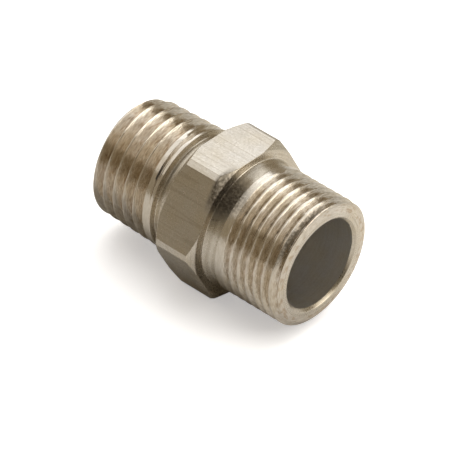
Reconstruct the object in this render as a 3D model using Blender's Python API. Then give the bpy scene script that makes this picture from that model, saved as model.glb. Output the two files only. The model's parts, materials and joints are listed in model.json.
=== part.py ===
"""Hex nipple: a 1/4-18 taper male thread and a 9/16-24 parallel male thread on one hexagon.

The real fitting is a single piece of hexagonal brass bar. It is turned and threaded at both
ends, drilled through, and nickel plated, so it is one solid here as well. The bore lies along
X, +X towards the parallel thread, and +Z is the normal of an upper wrench flat. The origin is
on the bore's axis at half the fitting's length.
"""
import math

import bmesh
import bpy
from mathutils import Matrix

INCH = 0.0254

# Hexagon
HEX_ACROSS_FLATS = 5 / 8 * INCH
HEX_WIDTH = 0.0053
HEX_TURNED_RADIUS = 0.00896
HEX_CHAMFER_START_RADIUS = 0.0081
TAPER_SIDE_CHAMFER_ANGLE = math.radians(40)
PARALLEL_SIDE_CHAMFER_ANGLE = math.radians(30)

# Parallel thread, 9/16-24 UNEF, on the +X side
PARALLEL_LENGTH = 0.0098
PARALLEL_PITCH = INCH / 24
PARALLEL_CREST_RADIUS = 0.0071
PARALLEL_THREAD_DEPTH = 0.6134 * PARALLEL_PITCH
PARALLEL_ROOT_FLAT = PARALLEL_PITCH / 6
PARALLEL_NECK = 0.00225
PARALLEL_RELIEF_WIDTH = 0.0017
PARALLEL_RELIEF_RADIUS = 0.00645
PARALLEL_RELIEF_FLARE = 0.00065
PARALLEL_FIRST_ANGLE = math.radians(185)
PARALLEL_FACE_RADIUS = 0.0059
PARALLEL_LEAD_IN = 0.00045

# Taper thread, 1/4-18 NPT, on the -X side
TAPER_LENGTH = 0.01075
TAPER_PITCH = INCH / 18
TAPER_PITCH_RADIUS_AT_TIP = 0.012126 / 2
TAPER_THREAD_DEPTH = 0.8 * TAPER_PITCH
TAPER_ROOT_FLAT = 0.038 * TAPER_PITCH
TAPER_SLOPE = 1 / 32
TAPER_NECK = 0.0023
TAPER_RELIEF_WIDTH = 0.0020
TAPER_RELIEF_RADIUS = 0.00635
TAPER_RELIEF_FLARE = 0.0005
TAPER_FIRST_ANGLE = math.radians(106)
TAPER_FACE_RADIUS = 0.0060

# Bore: a wide run from the parallel end, a step, and a narrower run to the taper end
WIDE_BORE_RADIUS = 0.00505
NARROW_BORE_RADIUS = 0.0040
BORE_STEP_X = -0.0015
DRILL_POINT_SLOPE = math.tan(math.radians(31))
MOUTH_CHAMFER = 0.0003

# Facets
TURNING_STEPS = 40
LEAD_IN_STEPS = 3
SHARP_EDGE_ANGLE = math.radians(25)

# Cutting
THREAD_HALF_ANGLE = math.radians(30)
TOOL_CLEARANCE_PITCHES = 0.01
RELIEF_WALL_WIDTH = 0.0002
RUN_OUT_TURNS = 0.6

LENGTH = TAPER_LENGTH + HEX_WIDTH + PARALLEL_LENGTH
TAPER_TIP_X = -LENGTH / 2
PARALLEL_TIP_X = LENGTH / 2
HEX_CENTRE_X = TAPER_TIP_X + TAPER_LENGTH + HEX_WIDTH / 2
HEX_LOW_X = HEX_CENTRE_X - HEX_WIDTH / 2
HEX_HIGH_X = HEX_CENTRE_X + HEX_WIDTH / 2
HEX_CORNER_RADIUS = HEX_ACROSS_FLATS / math.sqrt(3)

# Cutters and joined pieces reach this far past the surface that they meet
OVERRUN = 0.001


def clear_scene():
    for obj in list(bpy.data.objects):
        bpy.data.objects.remove(obj, do_unlink=True)


def nickel_plate():
    """Satin nickel over brass, slightly warm."""
    material = bpy.data.materials.new("nickel_plated_brass")
    material.use_nodes = True
    shader = material.node_tree.nodes["Principled BSDF"]
    shader.inputs["Base Color"].default_value = (0.60, 0.56, 0.50, 1)
    shader.inputs["Metallic"].default_value = 1.0
    shader.inputs["Roughness"].default_value = 0.30
    return material


def add_object(name, bm):
    """Turns a bmesh into an object with outward faces, shaded smooth with sharp edges kept."""
    bmesh.ops.recalc_face_normals(bm, faces=bm.faces)
    mesh = bpy.data.meshes.new(name)
    bm.to_mesh(mesh)
    bm.free()
    mesh.shade_smooth()
    mesh.set_sharp_from_angle(angle=SHARP_EDGE_ANGLE)
    obj = bpy.data.objects.new(name, mesh)
    bpy.context.scene.collection.objects.link(obj)
    return obj


def turned(name, profile):
    """Spins an open (x, radius) profile about X. Its two ends lie on the axis."""
    bm = bmesh.new()
    verts = [bm.verts.new((x, 0, r)) for x, r in profile]
    edges = [bm.edges.new(pair) for pair in zip(verts, verts[1:])]
    bmesh.ops.spin(bm, geom=verts + edges, axis=(1, 0, 0), cent=(0, 0, 0),
                   angle=math.tau, steps=TURNING_STEPS, use_merge=True)
    bmesh.ops.remove_doubles(bm, verts=bm.verts, dist=1e-7)
    return add_object(name, bm)


def hex_bar(name):
    """A length of hexagonal bar along X, with flats square to +Z and -Z."""
    bm = bmesh.new()
    bmesh.ops.create_cone(bm, cap_ends=True, segments=6, radius1=HEX_CORNER_RADIUS,
                          radius2=HEX_CORNER_RADIUS, depth=HEX_WIDTH)
    to_x_axis = Matrix.Rotation(math.radians(90), 4, "Y")
    bmesh.ops.transform(bm, matrix=to_x_axis, verts=bm.verts)
    bmesh.ops.translate(bm, vec=(HEX_CENTRE_X, 0, 0), verts=bm.verts)
    return add_object(name, bm)


def hex_turning(name):
    """What the lathe leaves of the bar: corners turned round, and chamfered at both ends."""
    past_face = OVERRUN / 4
    rise = HEX_TURNED_RADIUS - HEX_CHAMFER_START_RADIUS
    low_slope = math.tan(TAPER_SIDE_CHAMFER_ANGLE)
    high_slope = math.tan(PARALLEL_SIDE_CHAMFER_ANGLE)
    profile = [
        (HEX_LOW_X - past_face, 0),
        (HEX_LOW_X - past_face, HEX_CHAMFER_START_RADIUS - past_face / low_slope),
        (HEX_LOW_X + rise * low_slope, HEX_TURNED_RADIUS),
        (HEX_HIGH_X - rise * high_slope, HEX_TURNED_RADIUS),
        (HEX_HIGH_X + past_face, HEX_CHAMFER_START_RADIUS - past_face / high_slope),
        (HEX_HIGH_X + past_face, 0),
    ]
    return turned(name, profile)


def relief_profile(face_x, outward, width, radius, flare, crest_radius):
    """The groove between a thread and the hexagon, from the hexagon's face outwards.

    It narrows as a cone away from the face, and a steep wall leads up to the thread.
    """
    slope = flare / (width - RELIEF_WALL_WIDTH)
    return [
        (face_x - outward * OVERRUN, radius + flare + OVERRUN * slope),
        (face_x + outward * (width - RELIEF_WALL_WIDTH), radius),
        (face_x + outward * width, crest_radius),
    ]


def parallel_spigot(name):
    """The blank of the parallel thread: a relief groove, a cylinder and a rounded lead-in."""
    profile = [(HEX_HIGH_X - OVERRUN, 0)]
    profile += relief_profile(HEX_HIGH_X, 1, PARALLEL_RELIEF_WIDTH, PARALLEL_RELIEF_RADIUS,
                              PARALLEL_RELIEF_FLARE, PARALLEL_CREST_RADIUS)
    rise = PARALLEL_CREST_RADIUS - PARALLEL_FACE_RADIUS
    for step in range(LEAD_IN_STEPS + 1):
        angle = math.radians(90) * step / LEAD_IN_STEPS
        x = PARALLEL_TIP_X - PARALLEL_LEAD_IN * (1 - math.sin(angle))
        profile.append((x, PARALLEL_FACE_RADIUS + rise * math.cos(angle)))
    profile.append((PARALLEL_TIP_X, 0))
    return turned(name, profile)


def parallel_crest_radius(x):
    """Crest radius of the parallel thread, the same all along it."""
    return PARALLEL_CREST_RADIUS


def taper_crest_radius(x):
    """Crest radius of the taper thread, which grows by 1 in 32 from the tip."""
    return TAPER_PITCH_RADIUS_AT_TIP + TAPER_THREAD_DEPTH / 2 + TAPER_SLOPE * (x - TAPER_TIP_X)


def taper_spigot(name):
    """The blank of the taper thread: a relief groove and a cone with a chamfered tip."""
    relief_x = HEX_LOW_X - TAPER_RELIEF_WIDTH
    profile = [(HEX_LOW_X + OVERRUN, 0)]
    profile += relief_profile(HEX_LOW_X, -1, TAPER_RELIEF_WIDTH, TAPER_RELIEF_RADIUS,
                              TAPER_RELIEF_FLARE, taper_crest_radius(relief_x))
    chamfer_x = TAPER_TIP_X + taper_crest_radius(TAPER_TIP_X) - TAPER_FACE_RADIUS
    profile += [
        (chamfer_x, taper_crest_radius(chamfer_x)),
        (TAPER_TIP_X, TAPER_FACE_RADIUS),
        (TAPER_TIP_X, 0),
    ]
    return turned(name, profile)


def thread_tool(name, start_x, end_x, pitch, depth, root_flat, crest_radius, first_angle):
    """The space that a single-point tool sweeps as it cuts a right-hand thread.

    Its section is the groove between two crests, carried on a helix from start_x in towards
    the hexagon. Over the last part of a turn the tool backs out, so the groove fades away.
    """
    bm = bmesh.new()
    direction = 1 if end_x > start_x else -1
    turns = abs(end_x - start_x) / pitch
    steps = round(turns * TURNING_STEPS)
    sagitta = crest_radius(end_x) * (1 / math.cos(math.pi / TURNING_STEPS) - 1)
    overcut = sagitta + TOOL_CLEARANCE_PITCHES * pitch
    root_half = root_flat / 2
    crest_half = root_half + (depth + overcut) * math.tan(THREAD_HALF_ANGLE)
    previous = None
    for step in range(steps + 1):
        turn = step / TURNING_STEPS
        x = start_x + direction * turn * pitch
        angle = first_angle + direction * math.tau * turn
        lift = max(0, 1 - (turns - turn) / RUN_OUT_TURNS) * (depth + 2 * overcut)
        root = crest_radius(x) - depth + lift
        top = root + depth + overcut
        section = [(-crest_half, top), (-root_half, root), (root_half, root), (crest_half, top)]
        ring = [bm.verts.new((x + dx, -r * math.sin(angle), r * math.cos(angle)))
                for dx, r in section]
        if previous:
            for a in range(4):
                b = (a + 1) % 4
                bm.faces.new((previous[a], previous[b], ring[b], ring[a]))
        else:
            bm.faces.new(ring)
        previous = ring
    bm.faces.new(previous)
    return add_object(name, bm)


def bore_tool(name):
    """The drill and the countersinks, as one turned cutter that runs out past both ends."""
    step_rise = WIDE_BORE_RADIUS - NARROW_BORE_RADIUS
    flare = OVERRUN + MOUTH_CHAMFER
    profile = [
        (TAPER_TIP_X - OVERRUN, 0),
        (TAPER_TIP_X - OVERRUN, NARROW_BORE_RADIUS + flare),
        (TAPER_TIP_X + MOUTH_CHAMFER, NARROW_BORE_RADIUS),
        (BORE_STEP_X - step_rise * DRILL_POINT_SLOPE, NARROW_BORE_RADIUS),
        (BORE_STEP_X, WIDE_BORE_RADIUS),
        (PARALLEL_TIP_X - MOUTH_CHAMFER, WIDE_BORE_RADIUS),
        (PARALLEL_TIP_X + OVERRUN, WIDE_BORE_RADIUS + flare),
        (PARALLEL_TIP_X + OVERRUN, 0),
    ]
    return turned(name, profile)


def machine(body, operation, tool):
    """Adds one boolean step to the body and hides the tool that makes it."""
    step = body.modifiers.new(tool.name, "BOOLEAN")
    step.operation = operation
    step.solver = "EXACT"
    step.object = tool
    tool.hide_render = True
    tool.display_type = "WIRE"


def build():
    clear_scene()
    body = hex_bar("nipple_body")
    body.data.materials.append(nickel_plate())
    machine(body, "INTERSECT", hex_turning("hex_turning"))
    machine(body, "UNION", taper_spigot("taper_spigot_blank"))
    machine(body, "UNION", parallel_spigot("parallel_spigot_blank"))
    machine(body, "DIFFERENCE", thread_tool(
        "taper_thread_tool", TAPER_TIP_X - TAPER_PITCH, HEX_LOW_X - TAPER_NECK,
        TAPER_PITCH, TAPER_THREAD_DEPTH, TAPER_ROOT_FLAT, taper_crest_radius,
        TAPER_FIRST_ANGLE))
    machine(body, "DIFFERENCE", thread_tool(
        "parallel_thread_tool", PARALLEL_TIP_X + PARALLEL_PITCH, HEX_HIGH_X + PARALLEL_NECK,
        PARALLEL_PITCH, PARALLEL_THREAD_DEPTH, PARALLEL_ROOT_FLAT,
        parallel_crest_radius, PARALLEL_FIRST_ANGLE))
    machine(body, "DIFFERENCE", bore_tool("bore_tool"))


build()
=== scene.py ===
"""Looks of a hex nipple: nickel-plated brass, a taper thread and a finer parallel thread."""
import json
import math

import bpy
import numpy as np
from mathutils import Matrix, Vector


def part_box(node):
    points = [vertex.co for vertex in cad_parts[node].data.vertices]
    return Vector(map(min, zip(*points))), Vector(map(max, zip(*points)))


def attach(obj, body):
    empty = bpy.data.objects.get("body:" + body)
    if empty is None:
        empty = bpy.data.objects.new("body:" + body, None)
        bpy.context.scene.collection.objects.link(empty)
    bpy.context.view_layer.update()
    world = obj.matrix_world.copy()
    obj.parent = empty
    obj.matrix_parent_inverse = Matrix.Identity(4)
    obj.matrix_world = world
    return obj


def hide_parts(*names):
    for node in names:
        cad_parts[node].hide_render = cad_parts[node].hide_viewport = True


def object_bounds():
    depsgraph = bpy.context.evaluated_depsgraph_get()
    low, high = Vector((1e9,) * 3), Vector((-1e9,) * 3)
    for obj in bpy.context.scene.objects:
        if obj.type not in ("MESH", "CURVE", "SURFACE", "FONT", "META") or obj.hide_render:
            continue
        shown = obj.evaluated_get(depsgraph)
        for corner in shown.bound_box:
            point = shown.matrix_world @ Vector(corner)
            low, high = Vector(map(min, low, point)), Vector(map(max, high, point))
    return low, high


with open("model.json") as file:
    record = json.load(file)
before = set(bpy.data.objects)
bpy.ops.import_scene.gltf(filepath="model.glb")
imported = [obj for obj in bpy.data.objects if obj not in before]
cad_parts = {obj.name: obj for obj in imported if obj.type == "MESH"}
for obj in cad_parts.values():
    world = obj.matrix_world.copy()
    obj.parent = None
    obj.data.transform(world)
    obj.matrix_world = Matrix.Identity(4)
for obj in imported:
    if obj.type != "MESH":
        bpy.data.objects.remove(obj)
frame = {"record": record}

cad_low, cad_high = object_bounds()

# ---------------------------------------------------------------------------------------------
# The hexagon: brass bar drawn through a hexagonal die, its corners turned down to a cylinder and
# chamfered at both ends on the lathe. The whole fitting is one closed surface that shares the
# bar's columns. Shapes are in millimetres, measured from the frame's box and its mounts.
# ---------------------------------------------------------------------------------------------
MM = 0.001
DEGREE = math.pi / 180

bar_low, bar_high = (np.array(corner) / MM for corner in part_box("nipple_body"))
taper_tip_x = bar_low[0]
parallel_tip_x = bar_high[0]
half_across_flats = bar_high[2]
mount_x = {mount["name"]: mount["pos_m"][0] / MM for mount in frame["record"]["mounts"]}
hexagon_low_x = mount_x["taper_side_shoulder"]
hexagon_high_x = mount_x["parallel_side_shoulder"]

CORNER_RADIUS = 8.955
CORNER_COLUMNS = 6
FLAT_COLUMNS = 34
CHAMFER_START = 8.1
TAPER_SIDE_SLOPE = math.tan(40 * DEGREE)
PARALLEL_SIDE_SLOPE = math.tan(30 * DEGREE)
LEAST_EDGE_BREAK = 0.05
ROUNDING_STEPS = 5
LONGEST_ROUNDING = 0.45
CORNER_HALF_ANGLE = 30 * DEGREE - math.acos(half_across_flats / CORNER_RADIUS)


def column_angles():
    """Angles of the surface's columns over one turn, closer together on the six corners.

    Angle 0 is the middle of the upper flat, and angles grow from +Z towards -Y.
    """
    half = CORNER_HALF_ANGLE
    corner = np.linspace(-half, half, CORNER_COLUMNS, endpoint=False)
    flat = np.linspace(half, 60 * DEGREE - half, FLAT_COLUMNS, endpoint=False)
    sector = np.concatenate([corner, flat]) + 30 * DEGREE
    return np.sort(np.concatenate([sector + 60 * DEGREE * k for k in range(6)]) % math.tau)


def hexagon_radius(angle):
    """Distance from the axis to the bar's skin.

    On a flat it is half the width across flats over the cosine of the angle from its middle,
    and the corners are turned down to one radius.
    """
    from_flat = (angle + 30 * DEGREE) % (60 * DEGREE) - 30 * DEGREE
    return np.minimum(half_across_flats / np.cos(from_flat), CORNER_RADIUS)


def turned_rows(corners, roundings):
    """Rows of (x, radius) that follow a list of corners and round each inner one.

    A rounding is a quadratic Bezier curve from the point its distance before the corner to the
    point the same distance after it, with the corner as its control point. It takes up less
    than half of the shorter side.
    """
    corners = np.array([np.broadcast_arrays(x, r, columns)[:2] for x, r in corners], float)
    rows = []
    for before, corner, after, distance in zip(corners, corners[1:], corners[2:], roundings):
        back, ahead = before - corner, after - corner
        back_length = np.hypot(*back)
        ahead_length = np.hypot(*ahead)
        shorter = np.minimum(back_length, ahead_length)
        reach = np.minimum(distance, LONGEST_ROUNDING * shorter)
        start = corner + back / back_length * reach
        end = corner + ahead / ahead_length * reach
        for t in np.linspace(0, 1, ROUNDING_STEPS + 1):
            rows.append((1 - t) ** 2 * start + 2 * t * (1 - t) * corner + t ** 2 * end)
    return np.array(rows)


columns = column_angles()
closed_columns = np.append(columns, columns[0] + math.tau)
bar_radius = hexagon_radius(columns)
chamfer_foot = np.minimum(CHAMFER_START, bar_radius - LEAST_EDGE_BREAK)


# ---------------------------------------------------------------------------------------------
# The taper thread: a cone turned on the bar, 1 in 16 on the diameter, with a 45 degree tip and
# 18 sharp right-hand threads to the inch. It seals in its port by jamming on the taper.
# ---------------------------------------------------------------------------------------------
TAPER_PITCH = 25.4 / 18
TAPER_DEPTH = 0.8 * TAPER_PITCH
TAPER_ROOT_FLAT = 0.038 * TAPER_PITCH
TAPER_FACE_RADIUS = 6.0
TAPER_SLOPE = 1 / 32
TAPER_TIP_PITCH_RADIUS = 12.126 / 2
TAPER_TIP_CREST = TAPER_TIP_PITCH_RADIUS + TAPER_DEPTH / 2
TAPER_FIRST_GROOVE = 0.996
TAPER_NECK = 2.3
TAPER_RELIEF_WIDTH = 2.0
TAPER_RELIEF_RADIUS = 6.35
TAPER_RELIEF_FLARE = 0.5
FLANK_ANGLE = 30 * DEGREE
ROOT_SOFTNESS = 0.3
TOOL_CLEARANCE = 0.1
RUN_OUT_TURNS = 0.6
RELIEF_WALL_WIDTH = 0.2
RELIEF_EDGE = 0.05
EDGE_SOFTNESS = 0.018
TIP_OVERLAP = 1.03
TAPER_TIP_PATH = (TAPER_TIP_CREST - TAPER_FACE_RADIUS) * math.sqrt(2) * TIP_OVERLAP
TAPER_STRAIGHT_SHORTFALL = TAPER_TIP_PATH * (1 - 1 / math.sqrt(2))
taper_end_x = hexagon_low_x - TAPER_RELIEF_WIDTH - RELIEF_EDGE
taper_path_length = taper_end_x - taper_tip_x + TAPER_STRAIGHT_SHORTFALL
# Rows across one pitch from a groove's middle, closer together at its root and on the crest
taper_fractions = np.array([-0.485, -0.455, -0.4, -0.29, -0.17, -0.06, -0.02,
                            0.02, 0.06, 0.17, 0.29, 0.4, 0.455, 0.485, 0.5])


def softer_min(a, b, softness):
    """The smaller of two heights, with the crossing rounded over about the given distance."""
    overlap = np.maximum(softness - np.abs(a - b), 0) / softness
    return np.minimum(a, b) - overlap ** 2 * softness / 4


def thread_cut(path, angle, crest, pitch, depth, root_flat, first_groove, run_out):
    """Radius left by a single-point tool on a blank of the given crest radius.

    The groove's middle is where path = first_groove + pitch * (turns + angle / full turn).
    Its wall rises from the root's edge by the distance from that edge over tan(30 degrees). The
    tool backs out, in a straight line, over the stretch of path that run_out gives.
    """
    turns = (path - first_groove) / pitch - angle / math.tau
    from_middle = (turns - np.round(turns)) * pitch
    wall = np.abs(from_middle) - root_flat / 2
    wall = (wall + np.sqrt(wall ** 2 + (ROOT_SOFTNESS * root_flat) ** 2)) / 2
    tool = path - from_middle
    backed_out = np.clip((tool - run_out[0]) / (run_out[1] - run_out[0]), 0, 1)
    lift = backed_out * (depth + TOOL_CLEARANCE)
    groove = crest - depth + wall / math.tan(FLANK_ANGLE) + lift
    return softer_min(crest, groove, EDGE_SOFTNESS)


def taper_surface(path, angle):
    """(x, radius) of the taper thread at a path length from the rim of its end face.

    The path climbs the 45 degree tip and then follows the cone, whose radius grows by 1 in 32.
    Where the two meet, the tip's stretch goes on a little way past the cone.
    """
    on_tip = np.minimum(path, TAPER_TIP_PATH)
    along = on_tip / math.sqrt(2) + np.maximum(path - TAPER_TIP_PATH, 0)
    cone = TAPER_TIP_CREST + along * TAPER_SLOPE
    tip = TAPER_FACE_RADIUS + along
    run_end = hexagon_low_x - TAPER_NECK - taper_tip_x
    run_out = (run_end - RUN_OUT_TURNS * TAPER_PITCH, run_end)
    cut = thread_cut(along, angle, cone, TAPER_PITCH, TAPER_DEPTH, TAPER_ROOT_FLAT,
                     TAPER_FIRST_GROOVE, run_out)
    return taper_tip_x + along, softer_min(cut, tip, EDGE_SOFTNESS)


# ---------------------------------------------------------------------------------------------
# The parallel thread: a plain spigot of 24 right-hand threads to the inch for a nut or a ported
# body. It is turned straight, its rim is rounded over, and the first turn starts on the rim.
# ---------------------------------------------------------------------------------------------
PARALLEL_PITCH = 25.4 / 24
PARALLEL_DEPTH = 0.6134 * PARALLEL_PITCH
PARALLEL_ROOT_FLAT = PARALLEL_PITCH / 6
PARALLEL_CREST = 7.1
PARALLEL_FACE_RADIUS = 5.9
PARALLEL_LEAD_IN = 0.45
PARALLEL_LEAD_IN_PATH = 1.35
PARALLEL_FIRST_GROOVE = -0.544
PARALLEL_NECK = 2.25
PARALLEL_RELIEF_WIDTH = 1.7
PARALLEL_RELIEF_RADIUS = 6.45
PARALLEL_RELIEF_FLARE = 0.65
parallel_start_x = hexagon_high_x + PARALLEL_RELIEF_WIDTH + RELIEF_EDGE
parallel_straight = parallel_tip_x - PARALLEL_LEAD_IN - parallel_start_x
parallel_path_length = parallel_straight + PARALLEL_LEAD_IN_PATH
parallel_fractions = np.array([-0.465, -0.435, -0.4, -0.3, -0.2, -0.11, -0.06, 0,
                               0.06, 0.11, 0.2, 0.3, 0.4, 0.435, 0.465, 0.5])


def parallel_surface(path, angle):
    """(x, radius) of the parallel thread at a path length from its neck.

    The path is straight up to the rim, which is a quarter of an ellipse.
    """
    quarter = np.clip((path - parallel_straight) / PARALLEL_LEAD_IN_PATH, 0, 1) * 90 * DEGREE
    along = np.minimum(path, parallel_straight) + PARALLEL_LEAD_IN * np.sin(quarter)
    along = along - parallel_straight - PARALLEL_LEAD_IN
    rim = PARALLEL_CREST - (PARALLEL_CREST - PARALLEL_FACE_RADIUS) * (1 - np.cos(quarter))
    run_end = PARALLEL_NECK + hexagon_high_x - parallel_tip_x
    run_out = (run_end + RUN_OUT_TURNS * PARALLEL_PITCH, run_end)
    cut = thread_cut(along, angle, PARALLEL_CREST, PARALLEL_PITCH, PARALLEL_DEPTH,
                     PARALLEL_ROOT_FLAT, PARALLEL_FIRST_GROOVE, run_out)
    return parallel_tip_x + along, softer_min(cut, rim, EDGE_SOFTNESS / 2)


# ---------------------------------------------------------------------------------------------
# The bore: drilled wide from the parallel end, down to a step left by the drill's point, and
# narrow from there to the taper end. Both mouths are lightly countersunk.
# ---------------------------------------------------------------------------------------------
WIDE_BORE = 5.05
NARROW_BORE = 4.0
BORE_STEP_X = -1.5
DRILL_POINT_SLOPE = math.tan(31 * DEGREE)
MOUTH_CHAMFER = 0.3


def bore_rows(parallel_rim, taper_rim):
    """Rows from the parallel end face, in along the bore, and out to the taper end face."""
    point_length = (WIDE_BORE - NARROW_BORE) * DRILL_POINT_SLOPE
    corners = [
        (parallel_tip_x, parallel_rim),
        (parallel_tip_x, WIDE_BORE + MOUTH_CHAMFER),
        (parallel_tip_x - MOUTH_CHAMFER, WIDE_BORE),
        (BORE_STEP_X, WIDE_BORE),
        (BORE_STEP_X - point_length, NARROW_BORE),
        (taper_tip_x + MOUTH_CHAMFER, NARROW_BORE),
        (taper_tip_x, NARROW_BORE + MOUTH_CHAMFER),
        (taper_tip_x, taper_rim),
    ]
    return turned_rows(corners, [0.05, 0.05, 0.1, 0.1, 0.05, 0.05])


# ---------------------------------------------------------------------------------------------
# The body: the hexagon, both threads and the bore are one piece of brass, so their rows are
# joined into one closed surface. A thread's rows climb its helix and stop at its end rings.
# ---------------------------------------------------------------------------------------------
DRAWN_FINISH, THREAD_FINISH, TURNED_FINISH, BORE_FINISH = range(4)
NEAREST_ROW = 0.002
SHARP_EDGE_ANGLE = 26 * DEGREE

skin_points = []
skin_patches = []


def add_points(x, radius, angle):
    """Adds points at a radius and an angle round the axis, and returns their numbers."""
    x, radius, angle = np.broadcast_arrays(x, radius, angle)
    place = np.stack([x, -radius * np.sin(angle), radius * np.cos(angle)], -1)
    first = sum(len(block) for block in skin_points)
    skin_points.append(place.reshape(-1, 3))
    return first + np.arange(x.size).reshape(x.shape)


def add_patch(numbers, finish):
    """Adds the faces of a grid of point numbers.

    A face whose row has closed up on one side is a triangle, and one with no area is left out.
    """
    here, on = slice(None, -1), slice(1, None)
    around = [(here, here), (here, on), (on, on), (on, here)]
    quads = np.stack([numbers[a] for a in around], -1).reshape(-1, 4)
    kinds = np.broadcast_to(finish, numbers[on, on].shape).ravel()
    kept = quads != np.roll(quads, -1, axis=1)
    whole = kept.sum(1) >= 3
    skin_patches.append((quads[whole], kept[whole], kinds[whole]))


def add_rings(start_ring, rows, end_ring, finish):
    """Joins two rings of points by rows of (x, radius), with one finish for each gap."""
    middle = add_points(rows[:, 0], rows[:, 1], columns)
    numbers = np.vstack([start_ring, middle, end_ring])
    add_patch(np.hstack([numbers, numbers[:, :1]]), finish[:, None])


def add_thread(surface, pitch, fractions, first_groove, path_length, start_ring, end_ring):
    """Adds a thread between two rings of points.

    A row stands at path = first_groove + pitch * (turns + angle / full turn), cut off at both
    ends of the path, where it joins the ring. One turn on, it goes over into the row one pitch
    further up.
    """
    first = math.floor(-first_groove / pitch) - 2
    last = math.ceil((path_length - first_groove) / pitch) + 1
    turns = (np.arange(first, last + 1)[:, None] + fractions).ravel()
    path = first_groove + pitch * (turns[:, None] + closed_columns / math.tau)
    nearest = NEAREST_ROW * pitch
    before = path < nearest
    beyond = path > path_length - nearest
    pitch_rows = len(fractions)
    before[:-pitch_rows, -1] = before[pitch_rows:, 0]
    beyond[:-pitch_rows, -1] = beyond[pitch_rows:, 0]
    path = np.clip(path, 0, path_length)
    angle = np.broadcast_to(closed_columns, path.shape)
    free = ~(before | beyond)
    free[:, -1] = False
    numbers = np.zeros(path.shape, int)
    numbers[free] = add_points(*surface(path[free], angle[free]), angle[free])
    numbers[:-pitch_rows, -1] = numbers[pitch_rows:, 0]
    numbers = np.where(before, np.append(start_ring, start_ring[0]), numbers)
    numbers = np.where(beyond, np.append(end_ring, end_ring[0]), numbers)
    add_patch(numbers, THREAD_FINISH)


def thread_ring(surface, path):
    """The ring of points where a thread's surface begins or ends."""
    x, radius = surface(np.full(len(columns), float(path)), columns)
    return add_points(x, radius, columns), radius


def finish_bands(corner_count, first, last, finish):
    """The finish of each gap between turned rows.

    It is the given one between the middles of two corners, counted from 0, and turned outside.
    """
    corner_rows = ROUNDING_STEPS + 1
    gaps = np.arange(corner_count * corner_rows + 1)
    middles = np.array([first, last]) * corner_rows + corner_rows // 2
    return np.where((gaps > middles[0]) & (gaps < middles[1]), finish, TURNED_FINISH)


def collar_rows(taper_neck, parallel_neck):
    """Rows from one thread's relief groove over the hexagon to the other's."""
    taper_relief_x = taper_end_x + RELIEF_EDGE
    parallel_relief_x = parallel_start_x - RELIEF_EDGE
    corners = [
        (taper_end_x, taper_neck),
        (taper_relief_x, taper_neck),
        (taper_relief_x + RELIEF_WALL_WIDTH, TAPER_RELIEF_RADIUS),
        (hexagon_low_x, TAPER_RELIEF_RADIUS + TAPER_RELIEF_FLARE),
        (hexagon_low_x, chamfer_foot),
        (hexagon_low_x + (bar_radius - chamfer_foot) * TAPER_SIDE_SLOPE, bar_radius),
        (hexagon_high_x - (bar_radius - chamfer_foot) * PARALLEL_SIDE_SLOPE, bar_radius),
        (hexagon_high_x, chamfer_foot),
        (hexagon_high_x, PARALLEL_RELIEF_RADIUS + PARALLEL_RELIEF_FLARE),
        (parallel_relief_x - RELIEF_WALL_WIDTH, PARALLEL_RELIEF_RADIUS),
        (parallel_relief_x, parallel_neck),
        (parallel_start_x, parallel_neck),
    ]
    roundings = [0.03, 0.15, 0.15, 0.05, 0.05, 0.05, 0.05, 0.15, 0.15, 0.03]
    return turned_rows(corners, roundings)


taper_rim_ring, taper_rim = thread_ring(taper_surface, 0)
taper_neck_ring, taper_neck = thread_ring(taper_surface, taper_path_length)
parallel_neck_ring, parallel_neck = thread_ring(parallel_surface, 0)
parallel_rim_ring, parallel_rim = thread_ring(parallel_surface, parallel_path_length)

add_thread(taper_surface, TAPER_PITCH, taper_fractions,
           TAPER_FIRST_GROOVE + TAPER_STRAIGHT_SHORTFALL, taper_path_length,
           taper_rim_ring, taper_neck_ring)
add_rings(taper_neck_ring, collar_rows(taper_neck, parallel_neck), parallel_neck_ring,
          finish_bands(corner_count=10, first=4, last=5, finish=DRAWN_FINISH))
add_thread(parallel_surface, PARALLEL_PITCH, parallel_fractions,
           PARALLEL_FIRST_GROOVE + parallel_straight + PARALLEL_LEAD_IN, parallel_path_length,
           parallel_neck_ring, parallel_rim_ring)
add_rings(parallel_rim_ring, bore_rows(parallel_rim, taper_rim), taper_rim_ring,
          finish_bands(corner_count=6, first=1, last=4, finish=BORE_FINISH))

quads, kept, kinds = (np.concatenate(part) for part in zip(*skin_patches))
loops = quads[kept]
face_starts = np.concatenate([[0], np.cumsum(kept.sum(1))[:-1]])

skin = bpy.data.meshes.new("nipple_skin")
points = np.concatenate(skin_points) * MM
skin.vertices.add(len(points))
skin.vertices.foreach_set("co", points.ravel())
skin.loops.add(len(loops))
skin.loops.foreach_set("vertex_index", loops)
skin.polygons.add(len(kinds))
skin.polygons.foreach_set("loop_start", face_starts)
skin.polygons.foreach_set("material_index", kinds)
skin.update(calc_edges=True)
skin.validate()
skin.shade_smooth()
skin.set_sharp_from_angle(angle=SHARP_EDGE_ANGLE)

nipple = bpy.data.objects.new("nipple", skin)
bpy.context.scene.collection.objects.link(nipple)
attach(nipple, "root")
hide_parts("nipple_body")


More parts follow.
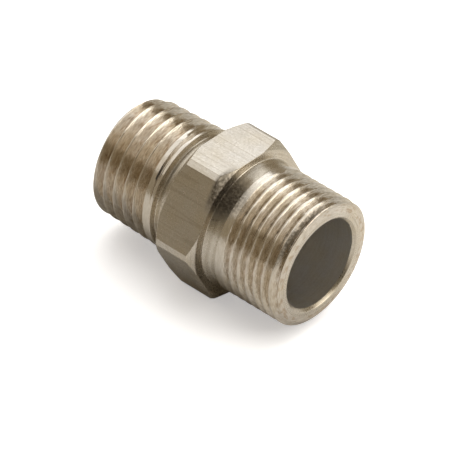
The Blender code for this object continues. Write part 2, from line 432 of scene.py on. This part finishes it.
# ---------------------------------------------------------------------------------------------
# The finish: a thin, warm nickel plate over the marks of the tools, browner towards the thread
# roots, with a painted highlight along the thread crests and a dark, pitted patch by the
# hexagon's upper corner. Its patterns read Object coordinates in millimetres, and a scale is in
# features per millimetre.
# ---------------------------------------------------------------------------------------------
WARM_NICKEL = (0.75, 0.69, 0.58, 1)
PALE_NICKEL = (0.76, 0.72, 0.65, 1)
# Paler nickel mixed onto the thread crests as a painted highlight
CREST_HIGHLIGHT_NICKEL = (0.84, 0.8, 0.73, 1)
STAINED_NICKEL = (0.16, 0.14, 0.115, 1)
MARK_BROWN = (0.4, 0.34, 0.25, 1)
GRAIN_BROWN = (0.3, 0.26, 0.18, 1)
# Brown mixed in towards the thread roots, more with depth
ROOT_BROWN = (0.74, 0.65, 0.56, 1)
CLOUD_SCALE = 0.35
GRAIN_SCALE = 5.5
GRAIN_ROUGHNESS = 0.08
STAIN_ROUGHNESS = 0.2


def node_group(name, inputs, outputs):
    """A new shader node group, returned with the sockets of its input and output nodes."""
    tree = bpy.data.node_groups.new(name, "ShaderNodeTree")
    for direction, sockets in (("INPUT", inputs), ("OUTPUT", outputs)):
        for socket, kind in sockets.items():
            tree.interface.new_socket(socket, in_out=direction, socket_type="NodeSocket" + kind)
    given = tree.nodes.new("NodeGroupInput").outputs
    result = tree.nodes.new("NodeGroupOutput").inputs
    return tree, given, result


def put(tree, socket, value):
    """Links a socket to another node's output, or sets it to a constant."""
    if isinstance(value, bpy.types.NodeSocket):
        tree.links.new(value, socket)
    else:
        socket.default_value = value


def noise(tree, vector, scale, detail):
    """Smooth noise between 0 and 1 at a scale given in features per unit of the vector."""
    node = tree.nodes.new("ShaderNodeTexNoise")
    put(tree, node.inputs["Vector"], vector)
    put(tree, node.inputs["Scale"], scale)
    put(tree, node.inputs["Detail"], detail)
    return node.outputs["Fac"]


def remap(tree, value, start, end, low, high):
    """Takes a value from one range to another along a straight line, and clamps it there."""
    node = tree.nodes.new("ShaderNodeMapRange")
    settings = {"Value": value, "From Min": start, "From Max": end, "To Min": low, "To Max": high}
    for socket, setting in settings.items():
        put(tree, node.inputs[socket], setting)
    return node.outputs["Result"]


def calc(tree, operation, a, b=0.0):
    """One step of arithmetic on two values."""
    node = tree.nodes.new("ShaderNodeMath")
    node.operation = operation
    put(tree, node.inputs[0], a)
    put(tree, node.inputs[1], b)
    return node.outputs["Value"]


def product(tree, a, b):
    """One value times another."""
    return calc(tree, "MULTIPLY", a, b)


def blend(tree, mode, factor, a, b):
    """Mixes two colours."""
    node = tree.nodes.new("ShaderNodeMix")
    node.data_type = "RGBA"
    node.blend_type = mode
    put(tree, node.inputs["Factor"], factor)
    put(tree, node.inputs["A"], a)
    put(tree, node.inputs["B"], b)
    return node.outputs["Result"]


def vector_calc(tree, operation, a, b):
    """The node of one step of arithmetic on two vectors."""
    node = tree.nodes.new("ShaderNodeVectorMath")
    node.operation = operation
    put(tree, node.inputs[0], a)
    put(tree, node.inputs[1], b)
    return node


def stretched(tree, vector, scale):
    """A vector with each of its components multiplied."""
    return vector_calc(tree, "MULTIPLY", vector, scale).outputs["Vector"]


def components(tree, vector):
    """The X, Y and Z of a vector."""
    node = tree.nodes.new("ShaderNodeSeparateXYZ")
    put(tree, node.inputs["Vector"], vector)
    return node.outputs["X"], node.outputs["Y"], node.outputs["Z"]


def make_plate_mottle():
    """Cloudy tone of the plate, and the fine grain of its surface."""
    tree, given, result = node_group(
        "plate_mottle", {"Vector": "Vector"}, {"Color": "Color", "Grain": "Float"})
    clouds = noise(tree, given["Vector"], CLOUD_SCALE, 3)
    tone = blend(tree, "MIX", remap(tree, clouds, 0.35, 0.65, 0, 1), WARM_NICKEL, PALE_NICKEL)
    grain = noise(tree, given["Vector"], GRAIN_SCALE, 3)
    put(tree, result["Color"], tone)
    put(tree, result["Grain"], remap(tree, grain, 0.32, 0.68, 0, 1))
    return tree


RINGS_PER_MM = 8.0
RING_RADIUS_WEIGHT = 1.5


def make_turned_marks():
    """Rings left by a turning tool.

    They are noise along x + 1.5 * radius, which changes across every face that was turned. A
    greater waviness breaks them up into shorter streaks.
    """
    tree, given, result = node_group(
        "turned_marks", {"Vector": "Vector", "Waviness": "Float"},
        {"Shade": "Float", "Height": "Float"})
    x, y, z = components(tree, given["Vector"])
    radius = calc(tree, "SQRT", calc(tree, "ADD", product(tree, y, y), product(tree, z, z)))
    across = calc(tree, "ADD", x, product(tree, radius, RING_RADIUS_WEIGHT))
    place = tree.nodes.new("ShaderNodeCombineXYZ")
    put(tree, place.inputs["X"], product(tree, across, RINGS_PER_MM))
    put(tree, place.inputs["Y"], product(tree, y, given["Waviness"]))
    put(tree, place.inputs["Z"], product(tree, z, given["Waviness"]))
    rings = noise(tree, place.outputs["Vector"], 1.0, 2)
    put(tree, result["Shade"], remap(tree, rings, 0.3, 0.65, 0, 1))
    put(tree, result["Height"], rings)
    return tree


DIE_LINE_SCALE = (0.1, 8, 8)
SCRATCH_SCALE = (0.05, 1.1, 1.1)
SCRATCH_LEVEL = 0.56
SCRATCH_SHADE = 0.9
SCRATCH_DEPTH = 0.6


def make_drawn_marks():
    """Straight lines that the die drew along the bar, and a few deeper scratches among them.

    Both are noise stretched along X. A scratch is where the wider noise crosses one level.
    """
    tree, given, result = node_group(
        "drawn_marks", {"Vector": "Vector"}, {"Shade": "Float", "Height": "Float"})
    lines = noise(tree, stretched(tree, given["Vector"], DIE_LINE_SCALE), 1.0, 2)
    wide = noise(tree, stretched(tree, given["Vector"], SCRATCH_SCALE), 1.0, 0)
    off_level = calc(tree, "ABSOLUTE", calc(tree, "SUBTRACT", wide, SCRATCH_LEVEL))
    scratch = remap(tree, off_level, 0.015, 0.05, 1, 0)
    shade = remap(tree, lines, 0.3, 0.7, 0.35, 1)
    put(tree, result["Shade"],
        calc(tree, "SUBTRACT", shade, product(tree, scratch, SCRATCH_SHADE)))
    put(tree, result["Height"],
        calc(tree, "SUBTRACT", lines, product(tree, scratch, SCRATCH_DEPTH)))
    return tree


# Patches of the brown towards the roots, and the most of that brown and of the painted crest
# highlight
ROOT_STREAK_SCALE = (12, 1.2, 1.2)
MOST_ROOT_BROWN = 0.8
MOST_CREST_HIGHLIGHT = 0.45


def make_root_brown_and_crest_highlight():
    """Darker brown towards a thread's roots, in patches, and a painted highlight on the crests.

    Depth is in millimetres below the crests. The end faces lie deeper than any root, and they
    get neither.
    """
    tree, given, result = node_group(
        "root_brown_and_crest_highlight", {"Vector": "Vector", "Depth": "Float"},
        {"RootBrown": "Float", "Crest": "Float"})
    streaks = noise(tree, stretched(tree, given["Vector"], ROOT_STREAK_SCALE), 1.0, 3)
    patches = remap(tree, streaks, 0.5, 0.6, 0, 1)
    deep = remap(tree, given["Depth"], 0.2, 0.6, 0, MOST_ROOT_BROWN)
    off_end_faces = remap(tree, given["Depth"], 1.1, 1.2, 1, 0)
    put(tree, result["RootBrown"], product(tree, patches, product(tree, deep, off_end_faces)))
    # Painted highlight: the crests are made paler, most on the crest itself
    put(tree, result["Crest"], remap(tree, given["Depth"], 0.005, 0.04, MOST_CREST_HIGHLIGHT, 0))
    return tree


STAIN_RADIUS = 7.4
STAIN_ANGLE = 34 * DEGREE
STAIN_PLACE = (hexagon_high_x + 0.3, -STAIN_RADIUS * math.sin(STAIN_ANGLE),
               STAIN_RADIUS * math.cos(STAIN_ANGLE))
RIM_STAIN_ANGLE = 26 * DEGREE
RIM_STAIN_X = parallel_tip_x - 0.72
PIT_SCALE = 3.5


def make_plate_stain():
    """Dark, pitted plate by the hexagon's upper corner and on the parallel thread's first turn.

    The first fades with the distance from one point and stops short of the flats. The second is
    a ring, kept to the side that faces its own angle.
    """
    tree, given, result = node_group("plate_stain", {"Vector": "Vector"}, {"Mask": "Float"})
    x, y, z = components(tree, given["Vector"])
    distance = vector_calc(tree, "DISTANCE", given["Vector"], STAIN_PLACE).outputs["Value"]
    off_flats = remap(tree, x, hexagon_high_x - 0.9, hexagon_high_x - 0.5, 0, 1)
    by_corner = product(tree, remap(tree, distance, 1.6, 2.9, 0.95, 0), off_flats)
    from_ring = calc(tree, "ABSOLUTE", calc(tree, "SUBTRACT", x, RIM_STAIN_X))
    towards_stain = calc(tree, "SUBTRACT", product(tree, z, math.cos(RIM_STAIN_ANGLE)),
                         product(tree, y, math.sin(RIM_STAIN_ANGLE)))
    on_rim = product(tree, remap(tree, from_ring, 0.1, 0.3, 0.9, 0),
                     remap(tree, towards_stain, 5.2, 6.2, 0, 1))
    pits = remap(tree, noise(tree, given["Vector"], PIT_SCALE, 4), 0.35, 0.55, 0.5, 1)
    put(tree, result["Mask"], product(tree, pits, calc(tree, "MAXIMUM", by_corner, on_rim)))
    return tree


plate_mottle = make_plate_mottle()
turned_marks = make_turned_marks()
drawn_marks = make_drawn_marks()
root_brown_and_crest_highlight = make_root_brown_and_crest_highlight()
plate_stain = make_plate_stain()


def nickel(name, marks, tint, roughness, mark_height, mark_shade, grain_shade, waviness=None,
           root_brown_and_painted_crests=False):
    """Nickel plate on one kind of tool mark, whose height is in metres.

    A shade is how far the marks or the grain pull the plate towards brown at most.
    """
    material = bpy.data.materials.new(name)
    material.use_nodes = True
    tree = material.node_tree
    shader = tree.nodes["Principled BSDF"]
    coordinates = tree.nodes.new("ShaderNodeTexCoord")
    place = stretched(tree, coordinates.outputs["Object"], (1 / MM, 1 / MM, 1 / MM))

    def group(node_tree):
        node = tree.nodes.new("ShaderNodeGroup")
        node.node_tree = node_tree
        put(tree, node.inputs["Vector"], place)
        return node

    plate = group(plate_mottle)
    tooling = group(marks)
    stain = group(plate_stain).outputs["Mask"]
    if waviness is not None:
        put(tree, tooling.inputs["Waviness"], waviness)
    dark_marks = remap(tree, tooling.outputs["Shade"], 0, 1, mark_shade, 0)
    dark_grain = remap(tree, plate.outputs["Grain"], 0, 1, grain_shade, 0)
    colour = blend(tree, "MULTIPLY", 1.0, plate.outputs["Color"], tint)
    colour = blend(tree, "MULTIPLY", dark_marks, colour, MARK_BROWN)
    colour = blend(tree, "MULTIPLY", dark_grain, colour, GRAIN_BROWN)
    # Brown towards the thread roots, and a painted highlight that makes the crests paler
    if root_brown_and_painted_crests:
        crest_and_root = group(root_brown_and_crest_highlight)
        depth = tree.nodes.new("ShaderNodeAttribute")
        depth.attribute_name = "groove_depth"
        put(tree, crest_and_root.inputs["Depth"], depth.outputs["Fac"])
        colour = blend(tree, "MULTIPLY", crest_and_root.outputs["RootBrown"], colour, ROOT_BROWN)
        colour = blend(tree, "MIX", crest_and_root.outputs["Crest"], colour, CREST_HIGHLIGHT_NICKEL)
    colour = blend(tree, "MIX", stain, colour, STAINED_NICKEL)
    grained = remap(tree, plate.outputs["Grain"], 0, 1, roughness + GRAIN_ROUGHNESS, roughness)
    dullness = calc(tree, "ADD", grained, product(tree, stain, STAIN_ROUGHNESS))
    bump = tree.nodes.new("ShaderNodeBump")
    put(tree, bump.inputs["Height"], tooling.outputs["Height"])
    put(tree, bump.inputs["Distance"], mark_height)
    put(tree, shader.inputs["Base Color"], colour)
    put(tree, shader.inputs["Metallic"], 1.0)
    put(tree, shader.inputs["Roughness"], dullness)
    put(tree, shader.inputs["Normal"], bump.outputs["Normal"])
    skin.materials.append(material)


# A point's depth below the crests of its own thread
radii = np.hypot(points[:, 1], points[:, 2]) / MM
along = points[:, 0] / MM
crests = np.where(along > hexagon_high_x, PARALLEL_CREST,
                  TAPER_TIP_CREST + (along - taper_tip_x) * TAPER_SLOPE)
groove_depth = skin.attributes.new("groove_depth", "FLOAT", "POINT")
groove_depth.data.foreach_set("value", np.maximum(crests - radii, 0))

# In the order of the finishes' numbers
nickel("nickel_drawn", drawn_marks, tint=(1.01, 1.02, 1.06, 1), roughness=0.26,
       mark_height=0.004 * MM, mark_shade=0.26, grain_shade=0.2)
nickel("nickel_thread", turned_marks, tint=(1.12, 1.12, 1.15, 1), roughness=0.15,
       mark_height=0.02 * MM, mark_shade=0.46, grain_shade=0.06, waviness=1.5, root_brown_and_painted_crests=True)
nickel("nickel_turned", turned_marks, tint=(1.03, 1.03, 1.04, 1), roughness=0.25,
       mark_height=0.008 * MM, mark_shade=0.42, grain_shade=0.06, waviness=0.3)
nickel("nickel_bore", turned_marks, tint=(1.05, 1.1, 1.22, 1), roughness=0.46,
       mark_height=0.004 * MM, mark_shade=0.12, grain_shade=0.08, waviness=0.3)


# ---------------------------------------------------------------------------------------------
# The studio, in metres: white paper with a lamp of its own, which looks darker in the metal than
# it does directly, under a graded ceiling of three softboxes. A low reflector stands beyond the
# fitting, a dark card on the camera's side, and a dim warm room around.
# ---------------------------------------------------------------------------------------------
PAPER_HALF_SIDE = 1.5
PAPER_WHITE = (0.92, 0.92, 0.92, 1)
PAPER_LIFT = (0.4, 0.398, 0.405, 1)
NEAR_REFLECTION = (0.46, 0.44, 0.41, 1)
MIDDLE_REFLECTION = (0.63, 0.61, 0.57, 1)
FAR_REFLECTION = (0.38, 0.375, 0.35, 1)
CARD_HALF_SIDE = 0.42
CARD_PLACE = (0.42, -0.41, 0.47)
CARD_BLACK = (0.06, 0.054, 0.045, 1)
MATT = 0.9


def matt_sheet(name, half_side):
    """A square sheet round its own centre, returned with its material's node tree."""
    mesh = bpy.data.meshes.new(name)
    mesh.from_pydata([(-half_side, -half_side, 0), (half_side, -half_side, 0),
                      (half_side, half_side, 0), (-half_side, half_side, 0)], [], [(0, 1, 2, 3)])
    sheet = bpy.data.objects.new(name, mesh)
    bpy.context.scene.collection.objects.link(sheet)
    material = bpy.data.materials.new(name)
    material.use_nodes = True
    material.node_tree.nodes["Principled BSDF"].inputs["Roughness"].default_value = MATT
    mesh.materials.append(material)
    return sheet, material.node_tree


floor, paper_tree = matt_sheet("studio_floor", PAPER_HALF_SIDE)
floor.location.z = cad_low.z
paper = paper_tree.nodes["Principled BSDF"]
seen_directly = paper_tree.nodes.new("ShaderNodeLightPath").outputs["Is Camera Ray"]
floor_place = paper_tree.nodes.new("ShaderNodeTexCoord").outputs["Object"]
_, floor_y, _ = components(paper_tree, floor_place)
reflection = blend(paper_tree, "MIX", remap(paper_tree, floor_y, -0.02, 0.015, 0, 1),
                   NEAR_REFLECTION, MIDDLE_REFLECTION)
reflection = blend(paper_tree, "MIX", remap(paper_tree, floor_y, 0.02, 0.08, 0, 1),
                   reflection, FAR_REFLECTION)
put(paper_tree, paper.inputs["Base Color"],
    blend(paper_tree, "MIX", seen_directly, reflection, PAPER_WHITE))
put(paper_tree, paper.inputs["Emission Color"],
    blend(paper_tree, "MIX", seen_directly, (0, 0, 0, 1), PAPER_LIFT))
paper.inputs["Emission Strength"].default_value = 1
paper.inputs["Specular IOR Level"].default_value = 0

card, card_tree = matt_sheet("camera_side_card", CARD_HALF_SIDE)
card.location = CARD_PLACE
card.rotation_mode = "QUATERNION"
card.rotation_quaternion = card.location.to_track_quat("Z", "Y")
card_tree.nodes["Principled BSDF"].inputs["Base Color"].default_value = CARD_BLACK
card.visible_camera = False
card.visible_shadow = False


def softbox(name, place, target, size, power, colour):
    """A rectangular area light at a place, facing a target, with its power in watts."""
    light = bpy.data.lights.new(name, "AREA")
    light.shape = "RECTANGLE"
    light.size, light.size_y = size
    light.energy = power
    light.color = colour
    lamp = bpy.data.objects.new(name, light)
    lamp.location = place
    lamp.rotation_mode = "QUATERNION"
    lamp.rotation_quaternion = (Vector(place) - Vector(target)).to_track_quat("Z", "Y")
    bpy.context.scene.collection.objects.link(lamp)
    return lamp


softbox("ceiling_far", (-0.7, 0.7, 0.8), (-0.7, 0.7, 0), (1.64, 0.8), 4.8, (0.94, 0.97, 1))
softbox("ceiling_middle", (-0.8, 0, 0.8), (-0.8, 0, 0), (1.4, 0.6), 1.95, (0.96, 0.98, 1))
softbox("ceiling_near", (-0.75, -0.6, 0.8), (-0.75, -0.6, 0), (1.4, 0.6), 1.15, (1, 0.97, 0.92))
softbox("far_reflector", (0.9, 0.55, 0.36), (0, 0.55, 0.36), (0.8, 0.7), 3.2, (1, 0.96, 0.88))
paper_lamp = softbox("paper_lamp", (0.3, 0.42, 0.85), (0.15, 0.2, 0), (1.8, 1.8), 19, (1, 1, 1))
paper_lamp.visible_glossy = False

room = bpy.data.worlds.new("studio_room")
room.use_nodes = True
backdrop = room.node_tree.nodes["Background"]
backdrop.inputs["Color"].default_value = (1, 0.82, 0.56, 1)
backdrop.inputs["Strength"].default_value = 0.27
bpy.context.scene.world = room
bpy.context.scene.view_settings.view_transform = "Standard"

# The camera stands well back with a long lens, a little above the fitting's wide end, and is
# turned slightly about its own axis.
CAMERA_AZIMUTH = 39.87 * DEGREE
CAMERA_ELEVATION = 38.75 * DEGREE
CAMERA_ROLL = 3.09 * DEGREE
CAMERA_DISTANCE = 0.4587
CAMERA_LENS = 352.5
CAMERA_AIM = (0.00043, -0.0022)

back = Vector((math.sin(CAMERA_AZIMUTH) * math.cos(CAMERA_ELEVATION),
               -math.cos(CAMERA_AZIMUTH) * math.cos(CAMERA_ELEVATION),
               math.sin(CAMERA_ELEVATION)))
level = Vector((math.cos(CAMERA_AZIMUTH), math.sin(CAMERA_AZIMUTH), 0))
upright = back.cross(level)
right = level * math.cos(CAMERA_ROLL) + upright * math.sin(CAMERA_ROLL)
up = upright * math.cos(CAMERA_ROLL) - level * math.sin(CAMERA_ROLL)
camera = bpy.data.objects.new("camera", bpy.data.cameras.new("camera"))
camera.data.lens = CAMERA_LENS
aim = right * CAMERA_AIM[0] + up * CAMERA_AIM[1]
camera.matrix_world = Matrix.Translation(aim + back * CAMERA_DISTANCE) @ Matrix(
    (right, up, back)).transposed().to_4x4()
bpy.context.scene.collection.objects.link(camera)
bpy.context.scene.camera = camera
